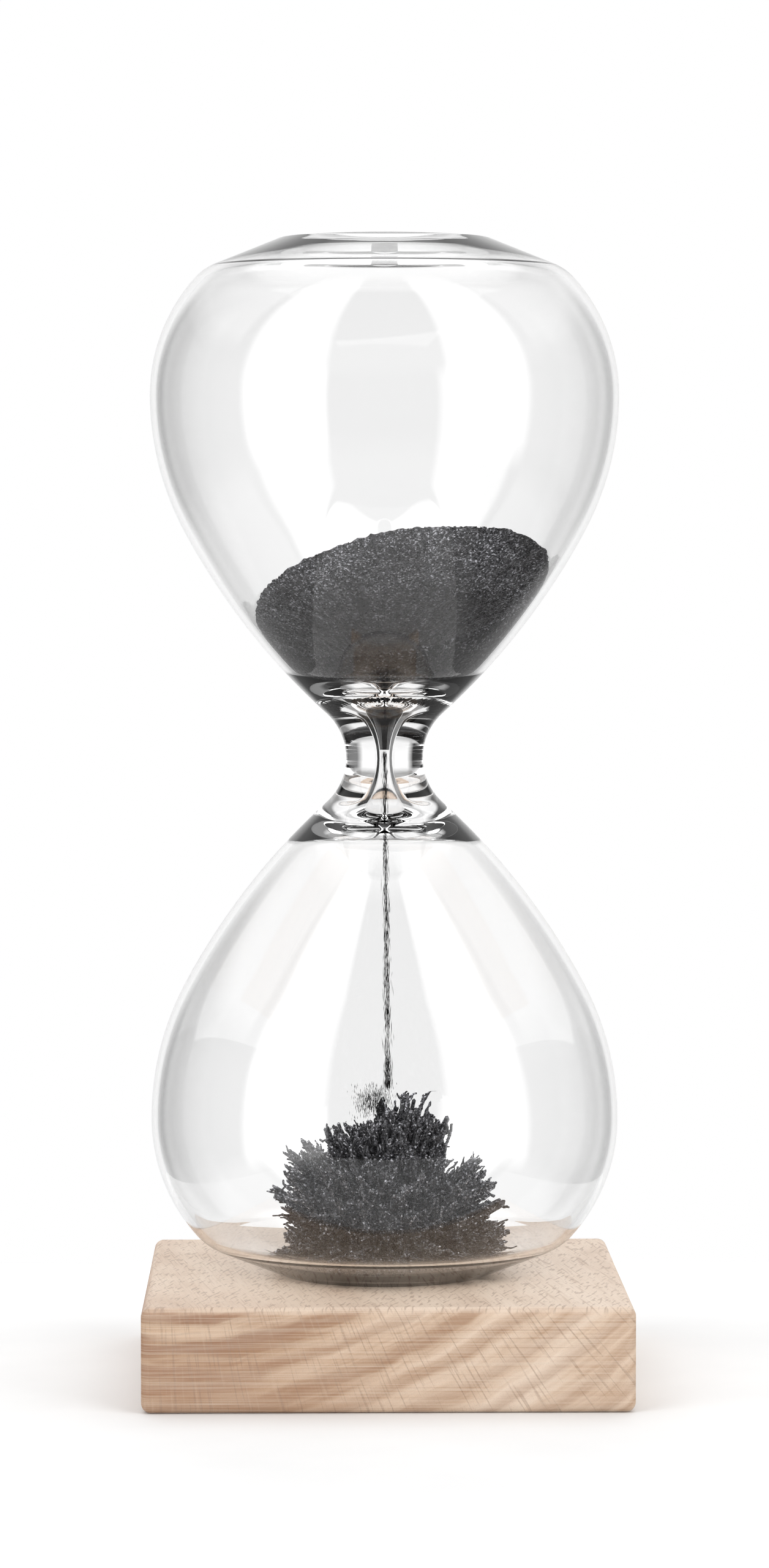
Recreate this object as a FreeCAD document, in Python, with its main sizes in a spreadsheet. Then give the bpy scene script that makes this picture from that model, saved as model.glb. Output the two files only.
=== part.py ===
import FreeCAD, Part
import math
import os
import Sketcher

# Magnetic hourglass desk sculpture, in millimetres.
# A square beech block hides a disc magnet. A symmetrical blown-glass hourglass stands loose on it,
# and the iron filings inside build a spiky sculpture over the magnet as they fall.
# Frame: origin at the centre of the block's underside, +Z up through the neck, -Y is the front.

Vector = FreeCAD.Vector

# Driving dimensions: alias, value, what it measures.
DIMENSIONS = [
    ("base_side", 70, "side of the square wooden block"),
    ("base_height", 15, "height of the wooden block"),
    ("base_edge_radius", 1.4, "sanded edges of the wooden block"),
    ("magnet_radius", 12.5, "disc magnet"),
    ("magnet_thickness", 5, "disc magnet"),
    ("magnet_chamfer", 0.4, "edges of the disc magnet"),
    ("magnet_cover", 3, "wood left between the magnet and the top face"),
    ("bore_clearance", 0.1, "radial gap round the magnet"),
    ("plug_clearance", 0.05, "radial gap round the wooden plug"),
    ("plug_chamfer", 0.4, "edges of the wooden plug"),
    ("bulb_length", 76.2, "neck centre to the flattened end of a bulb"),
    ("bulb_radius", 34.45, "outside of the glass at its widest"),
    ("belly_height", 53.2, "neck centre to the widest circle"),
    ("belly_arc", 42.2, "outside radius of the curve between the widest circle and the flank"),
    ("flank_arc", 100, "outside radius of the long flank that runs to the neck"),
    ("shoulder_arc", 25.6, "outside radius of the shoulder"),
    ("shoulder_turn", 42, "degrees that the shoulder turns through"),
    ("knuckle_arc", 8, "outside radius where the shoulder meets the flattened end"),
    ("rim_arc", 1.5, "outside radius at the edge of the standing ring"),
    ("rim_radius", 15.2, "outer edge of the standing ring"),
    ("punt_radius", 12.4, "inner edge of the standing ring"),
    ("punt_depth", 0.6, "hollow in the middle of the flattened end"),
    ("waist_radius", 5.65, "outside of the neck at its thinnest"),
    ("waist_arc", 8.8, "outside radius of the hollow curve of the neck"),
    ("wall", 1, "glass wall of the bulbs"),
    ("end_wall", 1, "glass at the middle of the flattened end"),
    ("end_corner_arc", 12, "inner radius at the edge of the flattened end"),
    ("throat_radius", 0.75, "bore of the neck at its thinnest"),
    ("throat_arc", 20, "radius of the bore's slow flare"),
    ("throat_turn", 22.7, "degrees of the bore's slow flare"),
    ("trumpet_arc", 4.3, "radius of the bore's quick flare"),
    ("funnel_arc", 9, "radius where the flare meets the wall of the bulb"),
    ("fill_hole_radius", 2, "hole in the top end that the filings went in through"),
    ("seal_clearance", 0.02, "radial gap left round the glass seal"),
    ("seal_dome", 0.5, "height of the seal's lens-shaped faces"),
    ("heap_top_radius", 28.1, "filings in the upper bulb, over their highest edge"),
    ("heap_top_height", 34, "the same, above the neck centre"),
    ("heap_middle_radius", 21.2, "filings in the upper bulb, half way up"),
    ("heap_middle_height", 22.5, "the same, above the neck centre"),
    ("heap_foot_radius", 10.8, "filings in the upper bulb, at the foot of the flank"),
    ("heap_foot_height", 12.2, "the same, above the neck centre"),
    ("heap_shelf_radius", 3.9, "filings where the bore opens into the bulb"),
    ("heap_shelf_height", 10.1, "the same, above the neck centre"),
    ("heap_flare_radius", 2.3, "filings in the quick flare of the bore"),
    ("heap_flare_height", 8.3, "the same, above the neck centre"),
    ("heap_bore_radius", 1.6, "filings in the slow flare of the bore"),
    ("heap_bore_height", 6.6, "the same, above the neck centre"),
    ("heap_low_radius", 0.45, "filings at the top of the stream"),
    ("heap_low_height", 1.5, "the same, above the neck centre"),
    ("crater_height", 12.6, "bottom of the crater above the neck centre"),
    ("crater_half_angle", 65, "degrees between the crater's axis and its side"),
    ("crater_tilt", 12.6, "degrees that the crater's axis leans"),
    ("crater_turn", 71.6, "degrees round from the left to the front that it leans to"),
    ("stream_radius", 0.42, "falling filings"),
    ("skirt_foot_radius", 15, "filings spread on the flat of the glass floor"),
    ("skirt_radius", 19.5, "the same at their widest"),
    ("skirt_edge_height", 1.2, "underside of the widest filings above the others"),
    ("skirt_top_radius", 11, "top of the spread filings"),
    ("skirt_height", 6.4, "height of the spread filings"),
    ("skirt_gap", 0.2, "clear height between the filings and the glass floor"),
    ("crown_radius", 9.5, "spiky filings above the skirt"),
    ("crown_tip_radius", 2.4, "the same, at the top of the middle clump"),
    ("crown_height", 18.5, "height of the spiky filings above the skirt"),
    ("clump_count", 9, "clumps in a ring"),
    ("clump_root_radius", 3.2, "clump of filings at its root"),
    ("clump_tip_radius", 0.6, "clump of filings at its tip"),
    ("clump_length", 15.5, "clump of filings from root to tip"),
    ("low_clump_height", 3.6, "root of the lower ring above the skirt"),
    ("low_clump_tilt", 64, "degrees that the lower ring leans outwards"),
    ("high_clump_height", 5.2, "root of the upper ring above the skirt"),
    ("high_clump_tilt", 33, "degrees that the upper ring leans outwards"),
]

NECK_HEIGHT = "Sizes.base_height + Sizes.bulb_length"
FLOOR_HEIGHT = "Sizes.base_height + Sizes.punt_depth + Sizes.end_wall + Sizes.skirt_gap"
CROWN_HEIGHT = FLOOR_HEIGHT + " + Sizes.skirt_height"
END_FACE = "Sizes.bulb_length - Sizes.punt_depth"
END_FLOOR = "Sizes.bulb_length - Sizes.punt_depth - Sizes.end_wall"

START, END, CENTRE = 1, 2, 3
ORIGIN, X_AXIS, Y_AXIS = (-1, 1), -1, -2

doc = FreeCAD.newDocument("magnetic_hourglass")
sheet = doc.addObject("Spreadsheet::Sheet", "Sizes")


# ---------- helpers ----------

def fill_sheet():
    """Write the driving dimensions into the sheet, one row each."""
    for row, (alias, value, note) in enumerate(DIMENSIONS, start=1):
        sheet.set(f"A{row}", alias)
        sheet.set(f"B{row}", str(value))
        sheet.set(f"C{row}", note)
        sheet.setAlias(f"B{row}", alias)
    doc.recompute()


def value(expression):
    """The present value of an expression over the sheet."""
    return float(sheet.evalExpression(expression.replace("Sizes.", "")))


def new_body(name, origin_height):
    """A body whose own origin stands at the given height, an expression over the sheet."""
    body = doc.addObject("PartDesign::Body", name)
    body.Label = name
    body.setExpression("Placement.Base.z", origin_height)
    return body


def origin_item(body, role):
    """One of the body's own origin planes or axes."""
    return next(item for item in body.Origin.OriginFeatures if item.Role == role)


def new_sketch(body, name, plane_role, offset=None):
    """A sketch on one of the body's own origin planes, moved along its normal by an expression."""
    sketch = body.newObject("Sketcher::SketchObject", name)
    sketch.AttachmentSupport = [(origin_item(body, plane_role), "")]
    sketch.MapMode = "FlatFace"
    if offset:
        sketch.setExpression("AttachmentOffset.Base.z", offset)
    return sketch


def constrain(sketch, *constraint):
    """Add one constraint that needs no dimension."""
    return sketch.addConstraint(Sketcher.Constraint(*constraint))


def bind(sketch, name, expression, *constraint):
    """Add one dimension to a sketch and drive it from the sheet."""
    start = value(expression)
    if constraint[0] == "Angle":
        start = math.radians(start)
    index = constrain(sketch, *constraint, start)
    sketch.renameConstraint(index, name)
    sketch.setExpression(f"Constraints.{name}", expression)


def circle_sketch(body, name, radius, offset=None):
    """A circle round the body's Z axis."""
    sketch = new_sketch(body, name, "XY_Plane", offset)
    sketch.addGeometry(Part.Circle(Vector(), Vector(0, 0, 1), value(radius)))
    constrain(sketch, "Coincident", 0, CENTRE, *ORIGIN)
    bind(sketch, "radius", radius, "Radius", 0)
    return sketch


def polygon_sketch(body, name, points):
    """A closed outline of straight lines in the body's XZ plane.

    points are (x, z) pairs of expressions; "0" holds the corner on its axis.
    """
    sketch = new_sketch(body, name, "XZ_Plane")
    corners = [Vector(value(x), value(z), 0) for x, z in points]
    for index, corner in enumerate(corners):
        sketch.addGeometry(Part.LineSegment(corner, corners[(index + 1) % len(corners)]))
    for index in range(len(corners)):
        constrain(sketch, "Coincident", index, END, (index + 1) % len(corners), START)
    for index, (x, z) in enumerate(points):
        for label, kind, text, axis in (("x", "DistanceX", x, Y_AXIS), ("z", "DistanceY", z, X_AXIS)):
            if text == "0":
                constrain(sketch, "PointOnObject", index, START, axis)
            else:
                bind(sketch, f"{label}_{index}", text, kind, *ORIGIN, index, START)
    return sketch


def extrude(body, kind, name, sketch, length, reverse=False):
    """A Pad or a Pocket of a sketch, its length an expression."""
    feature = body.newObject(f"PartDesign::{kind}", name)
    feature.Profile = sketch
    feature.Reversed = reverse
    feature.setExpression("Length", length)
    return feature


def revolve(body, name, sketch):
    """Turn a sketch of the XZ plane round the body's Z axis."""
    feature = body.newObject("PartDesign::Revolution", name)
    feature.Profile = sketch
    feature.ReferenceAxis = (sketch, ["V_Axis"])
    feature.Angle = 360
    return feature


def dress(body, kind, name, base, edges, property_name, expression):
    """A Fillet or a Chamfer on the named edges of the base feature."""
    feature = body.newObject(f"PartDesign::{kind}", name)
    feature.Base = (base, edges)
    feature.setExpression(property_name, expression)
    return feature


def edges_where(feature, test):
    """Names of the feature's edges that pass the test."""
    return [f"Edge{i}" for i, edge in enumerate(feature.Shape.Edges, start=1) if test(edge)]


def polar_pattern(body, name, original, occurrences):
    """Repeat a feature evenly round the body's Z axis."""
    pattern = body.newObject("PartDesign::PolarPattern", name)
    pattern.Originals = [original]
    pattern.Axis = (origin_item(body, "Z_Axis"), [""])
    pattern.Angle = 360
    pattern.setExpression("Occurrences", occurrences)
    body.Tip = pattern
    return pattern


class Outline:
    """A chain of lines and arcs in a sketch, each piece starting where the last one ended."""

    def __init__(self, sketch):
        self.sketch = sketch
        self.pieces = {}
        self.last = None

    def _add(self, name, geometry, first, last, smooth):
        index = self.sketch.addGeometry(geometry)
        if self.last:
            kind = "Tangent" if smooth else "Coincident"
            constrain(self.sketch, kind, *self.last, index, first)
        self.pieces[name] = (index, first, last)
        self.last = (index, last)
        return index

    def line(self, name, start, end, smooth=True):
        return self._add(name, Part.LineSegment(start, end), START, END, smooth)

    def arc(self, name, centre, start, end, left, smooth=True, radius=None):
        """An arc that turns left or right on its way from start to end."""
        circle = Part.Circle(centre, Vector(0, 0, 1), (start - centre).Length)
        angles = [math.atan2(point.y - centre.y, point.x - centre.x) for point in (start, end)]
        first, last = (START, END) if left else (END, START)
        if not left:
            angles.reverse()
        if angles[1] < angles[0]:
            angles[1] += 2 * math.pi
        index = self._add(name, Part.ArcOfCircle(circle, *angles), first, last, smooth)
        if radius:
            bind(self.sketch, name, radius, "Radius", index)
        return index

    def close(self):
        """Join the last piece to the first one."""
        index, first, _ = next(iter(self.pieces.values()))
        constrain(self.sketch, "Coincident", *self.last, index, first)


def circles_meet(centre_a, radius_a, centre_b, radius_b):
    """The point at the given distances from two centres, on the left of the way from a to b."""
    apart = centre_b - centre_a
    along = (apart.Length ** 2 + radius_a ** 2 - radius_b ** 2) / (2 * apart.Length)
    across = math.sqrt(radius_a ** 2 - along ** 2)
    unit = Vector(apart).normalize()
    return centre_a + unit * along + Vector(-unit.y, unit.x, 0) * across


def towards(centre, target, radius):
    """The point at a radius from a centre, in the direction of the target."""
    return centre + Vector(target - centre).normalize() * radius


def polar(centre, radius, degrees):
    """The point at a radius and an angle from a centre."""
    angle = math.radians(degrees)
    return centre + Vector(math.cos(angle), math.sin(angle), 0) * radius


# ---------- the wooden base and its magnet ----------

def make_wood_base():
    """Square beech block with a blind bore in its underside for the magnet."""
    body = new_body("wood_base", "0")
    square = new_sketch(body, "block_outline", "XY_Plane")
    half = value("base_side") / 2
    corners = [Vector(-half, -half, 0), Vector(half, -half, 0), Vector(half, half, 0), Vector(-half, half, 0)]
    for index in range(4):
        square.addGeometry(Part.LineSegment(corners[index], corners[(index + 1) % 4]))
    for index in range(4):
        constrain(square, "Coincident", index, END, (index + 1) % 4, START)
        constrain(square, "Horizontal" if index % 2 == 0 else "Vertical", index)
    constrain(square, "Symmetric", 0, START, 1, END, *ORIGIN)
    bind(square, "side_x", "Sizes.base_side", "DistanceX", 0, START, 0, END)
    bind(square, "side_y", "Sizes.base_side", "DistanceY", 1, START, 1, END)
    block = extrude(body, "Pad", "block", square, "Sizes.base_height")

    bore_outline = circle_sketch(body, "bore_outline", "Sizes.magnet_radius + Sizes.bore_clearance")
    depth = "Sizes.base_height - Sizes.magnet_cover"
    bore = extrude(body, "Pocket", "magnet_bore", bore_outline, depth, reverse=True)
    doc.recompute()
    if bore.Shape.Volume > block.Shape.Volume - 1:
        raise RuntimeError("the magnet bore cut nothing")

    outer_edges = edges_where(bore, lambda edge: edge.Curve.TypeId == "Part::GeomLine")
    dress(body, "Fillet", "sanded_edges", bore, outer_edges, "Radius", "Sizes.base_edge_radius")
    return body


def make_disc(name, height, radius, thickness, chamfer):
    """A disc with both rims chamfered."""
    body = new_body(name, height)
    disc = extrude(body, "Pad", "disc", circle_sketch(body, "disc_outline", radius), thickness)
    doc.recompute()
    rims = edges_where(disc, lambda edge: edge.Curve.TypeId == "Part::GeomCircle")
    dress(body, "Chamfer", "rims", disc, rims, "Size", chamfer)
    return body


def make_magnet():
    """Disc magnet at the blind end of the bore."""
    height = "Sizes.base_height - Sizes.magnet_cover - Sizes.magnet_thickness"
    return make_disc("base_magnet", height, "Sizes.magnet_radius", "Sizes.magnet_thickness",
                     "Sizes.magnet_chamfer")


def make_plug():
    """Wooden plug that closes the bore, flush with the underside."""
    radius = "Sizes.magnet_radius + Sizes.bore_clearance - Sizes.plug_clearance"
    length = "Sizes.base_height - Sizes.magnet_cover - Sizes.magnet_thickness"
    return make_disc("magnet_plug", "0", radius, length, "Sizes.plug_chamfer")


# ---------- the glass ----------

def draw_bulb_outline(sketch):
    """Half of the hourglass in section, from the neck up, wall thickness and bore included."""
    wall = value("wall")
    waist_arc, flank_arc = value("waist_arc"), value("flank_arc")
    belly_arc, shoulder_arc = value("belly_arc"), value("shoulder_arc")
    knuckle_arc, rim_arc = value("knuckle_arc"), value("rim_arc")
    waist = Vector(value("waist_radius"), 0, 0)
    belly = Vector(value("bulb_radius"), value("belly_height"), 0)

    # Centres and tangent points of the outside, from the neck to the standing ring.
    waist_centre = waist + Vector(waist_arc, 0, 0)
    belly_centre = belly - Vector(belly_arc, 0, 0)
    shoulder_centre = belly - Vector(shoulder_arc, 0, 0)
    flank_centre = circles_meet(waist_centre, flank_arc + waist_arc, belly_centre, flank_arc - belly_arc)
    waist_to_flank = towards(waist_centre, flank_centre, waist_arc)
    flank_to_belly = towards(flank_centre, belly_centre, flank_arc)
    shoulder_end = polar(shoulder_centre, shoulder_arc, value("shoulder_turn"))
    knuckle_centre = polar(shoulder_centre, shoulder_arc - knuckle_arc, value("shoulder_turn"))
    ring_start = Vector(value("rim_radius"), value("bulb_length"), 0)
    rim_centre = ring_start - Vector(0, rim_arc, 0)
    run = rim_centre - knuckle_centre
    normal_angle = math.degrees(math.atan2(run.y, run.x) - math.acos((knuckle_arc - rim_arc) / run.Length))
    slope_start = polar(knuckle_centre, knuckle_arc, normal_angle)
    slope_end = polar(rim_centre, rim_arc, normal_angle)
    ring_end = Vector(value("punt_radius"), value("bulb_length"), 0)
    punt = Vector(0, value(END_FACE), 0)
    punt_depth = value("punt_depth")
    punt_arc = (ring_end.x ** 2 + punt_depth ** 2) / (2 * punt_depth)

    outline = Outline(sketch)
    outline.arc("waist_arc", waist_centre, waist, waist_to_flank, left=False, radius="Sizes.waist_arc")
    outline.arc("flank_arc", flank_centre, waist_to_flank, flank_to_belly, left=True,
                radius="Sizes.flank_arc")
    outline.arc("belly_arc", belly_centre, flank_to_belly, belly, left=True, radius="Sizes.belly_arc")
    outline.arc("shoulder_arc", shoulder_centre, belly, shoulder_end, left=True,
                radius="Sizes.shoulder_arc")
    outline.arc("knuckle_arc", knuckle_centre, shoulder_end, slope_start, left=True,
                radius="Sizes.knuckle_arc")
    outline.line("slope", slope_start, slope_end)
    outline.arc("rim_arc", rim_centre, slope_end, ring_start, left=True, radius="Sizes.rim_arc")
    outline.line("ring", ring_start, ring_end)
    outline.arc("punt", punt + Vector(0, punt_arc, 0), ring_end, punt, left=False, smooth=False)

    # The inside, from the flattened end back down to the bore of the neck.
    floor = Vector(0, value(END_FLOOR), 0)
    corner_arc, inner_knuckle = value("end_corner_arc"), knuckle_arc - wall
    slope_normal = polar(Vector(), 1, normal_angle)
    corner_rise = floor.y - corner_arc - knuckle_centre.y
    corner_run = (inner_knuckle - corner_arc - corner_rise * slope_normal.y) / slope_normal.x
    corner_centre = knuckle_centre + Vector(corner_run, corner_rise, 0)
    floor_end = polar(corner_centre, corner_arc, 90)
    corner_end = polar(corner_centre, corner_arc, normal_angle)
    inner_slope_end = polar(knuckle_centre, inner_knuckle, normal_angle)
    inner_knuckle_end = polar(shoulder_centre, shoulder_arc - wall, value("shoulder_turn"))
    inner_belly = belly - Vector(wall, 0, 0)
    inner_flank = flank_arc - wall
    inner_flank_start = towards(flank_centre, belly_centre, inner_flank)
    throat = Vector(value("throat_radius"), 0, 0)
    throat_arc, trumpet_arc = value("throat_arc"), value("trumpet_arc")
    funnel_arc = value("funnel_arc")
    throat_centre = throat + Vector(throat_arc, 0, 0)
    throat_start = polar(throat_centre, throat_arc, 180 - value("throat_turn"))
    trumpet_centre = towards(throat_centre, throat_start, throat_arc - trumpet_arc)
    funnel_centre = circles_meet(flank_centre, inner_flank - funnel_arc,
                                 trumpet_centre, funnel_arc + trumpet_arc)
    funnel_start = towards(flank_centre, funnel_centre, inner_flank)
    trumpet_start = towards(trumpet_centre, funnel_centre, trumpet_arc)

    outline.line("axis", punt, floor, smooth=False)
    outline.line("floor", floor, floor_end, smooth=False)
    outline.arc("end_corner", corner_centre, floor_end, corner_end, left=False,
                radius="Sizes.end_corner_arc")
    outline.line("inner_slope", corner_end, inner_slope_end)
    outline.arc("inner_knuckle", knuckle_centre, inner_slope_end, inner_knuckle_end, left=False)
    outline.arc("inner_shoulder", shoulder_centre, inner_knuckle_end, inner_belly, left=False,
                radius="Sizes.shoulder_arc - Sizes.wall")
    outline.arc("inner_belly", belly_centre, inner_belly, inner_flank_start, left=False, smooth=False)
    outline.arc("inner_flank", flank_centre, inner_flank_start, funnel_start, left=False)
    outline.arc("funnel_arc", funnel_centre, funnel_start, trumpet_start, left=False,
                radius="Sizes.funnel_arc")
    outline.arc("trumpet_arc", trumpet_centre, trumpet_start, throat_start, left=True,
                radius="Sizes.trumpet_arc")
    outline.arc("throat_arc", throat_centre, throat_start, throat, left=True,
                radius="Sizes.throat_arc")
    outline.line("neck_section", throat, waist, smooth=False)
    outline.close()
    return outline


def constrain_bulb_outline(sketch, pieces):
    """Place the bulb's outline: everything that isn't a radius or a tangency."""
    def at(name, side):
        index, first, last = pieces[name]
        return (index, first if side == "first" else last)

    def centre(name):
        return (pieces[name][0], CENTRE)

    constrain(sketch, "PointOnObject", *at("waist_arc", "first"), X_AXIS)
    constrain(sketch, "PointOnObject", *centre("waist_arc"), X_AXIS)
    bind(sketch, "waist_radius", "Sizes.waist_radius", "DistanceX", *ORIGIN, *at("waist_arc", "first"))
    constrain(sketch, "Horizontal", *centre("belly_arc"), *at("belly_arc", "last"))
    bind(sketch, "bulb_radius", "Sizes.bulb_radius", "DistanceX", *ORIGIN, *at("belly_arc", "last"))
    bind(sketch, "belly_height", "Sizes.belly_height", "DistanceY", *ORIGIN, *at("belly_arc", "last"))
    bind(sketch, "shoulder_turn", "Sizes.shoulder_turn", "Angle", pieces["shoulder_arc"][0])
    constrain(sketch, "Horizontal", pieces["ring"][0])
    bind(sketch, "bulb_length", "Sizes.bulb_length", "DistanceY", *ORIGIN, *at("ring", "first"))
    bind(sketch, "rim_radius", "Sizes.rim_radius", "DistanceX", *ORIGIN, *at("ring", "first"))
    bind(sketch, "punt_radius", "Sizes.punt_radius", "DistanceX", *ORIGIN, *at("ring", "last"))
    constrain(sketch, "PointOnObject", *centre("punt"), Y_AXIS)
    constrain(sketch, "PointOnObject", *at("punt", "last"), Y_AXIS)
    bind(sketch, "end_face", END_FACE, "DistanceY", *ORIGIN, *at("punt", "last"))
    constrain(sketch, "PointOnObject", *at("axis", "last"), Y_AXIS)
    bind(sketch, "end_floor", END_FLOOR, "DistanceY", *ORIGIN, *at("axis", "last"))
    constrain(sketch, "Horizontal", pieces["floor"][0])
    constrain(sketch, "Parallel", pieces["inner_slope"][0], pieces["slope"][0])
    constrain(sketch, "Coincident", *centre("inner_knuckle"), *centre("knuckle_arc"))
    constrain(sketch, "Coincident", *centre("inner_shoulder"), *centre("shoulder_arc"))
    constrain(sketch, "Horizontal", *centre("inner_shoulder"), *at("inner_shoulder", "last"))
    constrain(sketch, "Coincident", *centre("inner_belly"), *centre("belly_arc"))
    constrain(sketch, "Coincident", *centre("inner_flank"), *centre("flank_arc"))
    bind(sketch, "throat_turn", "Sizes.throat_turn", "Angle", pieces["throat_arc"][0])
    constrain(sketch, "PointOnObject", *centre("throat_arc"), X_AXIS)
    constrain(sketch, "PointOnObject", *at("throat_arc", "last"), X_AXIS)
    bind(sketch, "throat_radius", "Sizes.throat_radius", "DistanceX", *ORIGIN, *at("throat_arc", "last"))


def make_glass_vessel():
    """Both bulbs and the thick neck, one piece of glass, with the filling hole in its top end."""
    body = new_body("glass_vessel", NECK_HEIGHT)
    sketch = new_sketch(body, "bulb_section", "XZ_Plane")
    outline = draw_bulb_outline(sketch)
    constrain_bulb_outline(sketch, outline.pieces)
    half = revolve(body, "upper_bulb", sketch)
    doc.recompute()

    whole = body.newObject("PartDesign::Mirrored", "both_bulbs")
    whole.Originals = [half]
    whole.MirrorPlane = (origin_item(body, "XY_Plane"), [""])
    body.Tip = whole
    doc.recompute()

    hole_outline = circle_sketch(body, "hole_outline", "Sizes.fill_hole_radius", "Sizes.bulb_length")
    hole = extrude(body, "Pocket", "filling_hole", hole_outline, "2 * (Sizes.punt_depth + Sizes.end_wall)")
    doc.recompute()
    if hole.Shape.Volume > whole.Shape.Volume - 1:
        raise RuntimeError("the filling hole cut nothing")
    return body


def make_filling_seal():
    """Drop of glass that closes the filling hole, with lens-shaped faces."""
    body = new_body("filling_seal", NECK_HEIGHT)
    sketch = new_sketch(body, "seal_section", "XZ_Plane")
    radius = value("fill_hole_radius") - value("seal_clearance")
    dome = value("seal_dome")
    dome_arc = (radius ** 2 + dome ** 2) / (2 * dome)
    low_edge, high_edge = Vector(radius, value(END_FLOOR), 0), Vector(radius, value(END_FACE), 0)
    low, high = Vector(0, low_edge.y - dome, 0), Vector(0, high_edge.y + dome, 0)

    outline = Outline(sketch)
    outline.arc("low_dome", low + Vector(0, dome_arc, 0), low, low_edge, left=True)
    outline.line("side", low_edge, high_edge, smooth=False)
    outline.arc("high_dome", high - Vector(0, dome_arc, 0), high_edge, high, left=True, smooth=False)
    outline.line("axis", high, low, smooth=False)
    outline.close()

    low_arc, side, high_arc, _ = range(4)
    for index, corner in ((low_arc, START), (low_arc, CENTRE), (high_arc, END), (high_arc, CENTRE)):
        constrain(sketch, "PointOnObject", index, corner, Y_AXIS)
    constrain(sketch, "Vertical", side)
    bind(sketch, "radius", "Sizes.fill_hole_radius - Sizes.seal_clearance", "DistanceX", *ORIGIN, side, START)
    bind(sketch, "low_edge", END_FLOOR, "DistanceY", *ORIGIN, side, START)
    bind(sketch, "high_edge", END_FACE, "DistanceY", *ORIGIN, side, END)
    bind(sketch, "low_dome", "Sizes.seal_dome", "DistanceY", low_arc, START, low_arc, END)
    bind(sketch, "high_dome", "Sizes.seal_dome", "DistanceY", high_arc, START, high_arc, END)
    revolve(body, "seal", sketch)
    return body


# ---------- the iron filings ----------

def make_upper_filings():
    """Filings waiting in the upper bulb, with the crater that drains into the neck."""
    body = new_body("upper_filings", NECK_HEIGHT)
    stations = ["low", "bore", "flare", "shelf", "foot", "middle", "top"]
    points = [("0", "Sizes.heap_low_height")]
    points += [(f"Sizes.heap_{name}_radius", f"Sizes.heap_{name}_height") for name in stations]
    points.append(("0", "Sizes.heap_top_height"))
    heap = revolve(body, "heap", polygon_sketch(body, "heap_section", points))
    doc.recompute()

    crater = body.newObject("PartDesign::SubtractiveCone", "crater")
    crater.Radius1 = 0
    crater.setExpression("Height", "Sizes.bulb_length / 2")
    crater.setExpression("Radius2", "Sizes.bulb_length / 2 * tan(Sizes.crater_half_angle * 1 deg)")
    lean = math.radians(value("crater_turn"))
    lean_axis = Vector(-math.cos(lean), -math.sin(lean), 0).cross(Vector(0, 0, 1))
    crater.Placement = FreeCAD.Placement(Vector(0, 0, value("crater_height")),
                                         FreeCAD.Rotation(lean_axis, -value("crater_tilt")))
    crater.setExpression("Placement.Base.z", "Sizes.crater_height")
    crater.setExpression("Placement.Rotation.Angle", "-Sizes.crater_tilt")
    doc.recompute()
    if crater.Shape.Volume > heap.Shape.Volume - 1:
        raise RuntimeError("the crater cut nothing")
    return body


def make_falling_stream():
    """Filings in free fall, from the neck to the top of the sculpture."""
    body = new_body("falling_stream", CROWN_HEIGHT + " + Sizes.crown_height + Sizes.skirt_gap")
    outline = circle_sketch(body, "stream_outline", "Sizes.stream_radius")
    length = f"({NECK_HEIGHT}) + Sizes.heap_low_height - ({CROWN_HEIGHT}) - Sizes.crown_height"
    extrude(body, "Pad", "stream", outline, length + " - 2 * Sizes.skirt_gap")
    return body


def make_filings_skirt():
    """Filings that lie fanned out on the glass floor over the magnet."""
    body = new_body("filings_skirt", FLOOR_HEIGHT)
    points = [("0", "0"), ("Sizes.skirt_foot_radius", "0"), ("Sizes.skirt_radius", "Sizes.skirt_edge_height"),
              ("Sizes.skirt_top_radius", "Sizes.skirt_height"), ("0", "Sizes.skirt_height")]
    revolve(body, "skirt", polygon_sketch(body, "skirt_section", points))
    return body


def add_clump_ring(body, name, first_turn):
    """A ring of tapered clumps of filings that lean outwards from the body's axis.

    first_turn is how far round the first clump stands, in shares of the step between two clumps.
    """
    clump = body.newObject("PartDesign::AdditiveCone", f"{name}_clump")
    clump.setExpression("Radius1", "Sizes.clump_root_radius")
    clump.setExpression("Radius2", "Sizes.clump_tip_radius")
    clump.setExpression("Height", "Sizes.clump_length")
    turn = math.radians(first_turn * 360 / value("clump_count"))
    lean_axis = Vector(-math.sin(turn), math.cos(turn), 0)
    clump.Placement = FreeCAD.Placement(Vector(), FreeCAD.Rotation(lean_axis, value(f"{name}_clump_tilt")))
    clump.setExpression("Placement.Base.z", f"Sizes.{name}_clump_height")
    clump.setExpression("Placement.Rotation.Angle", f"Sizes.{name}_clump_tilt")
    doc.recompute()
    return polar_pattern(body, f"{name}_ring", clump, "Sizes.clump_count")


def make_filings_crown():
    """Spiky filings that the magnet holds up on top of the skirt."""
    body = new_body("filings_crown", CROWN_HEIGHT)
    points = [("0", "0"), ("Sizes.crown_radius", "0"), ("Sizes.crown_tip_radius", "Sizes.crown_height"),
              ("0", "Sizes.crown_height")]
    revolve(body, "core", polygon_sketch(body, "core_section", points))
    add_clump_ring(body, "low", 0)
    add_clump_ring(body, "high", 0.5)
    return body


# ---------- build, check and export ----------

def check_document():
    """Stop at any object that failed to compute."""
    for item in doc.Objects:
        for state in ("Invalid", "Error"):
            if state in item.State:
                raise RuntimeError(f"{item.Name} is {state}")
        if item.TypeId == "Sketcher::SketchObject" and not item.FullyConstrained:
            raise RuntimeError(f"{item.Name} isn't fully constrained")


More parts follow.
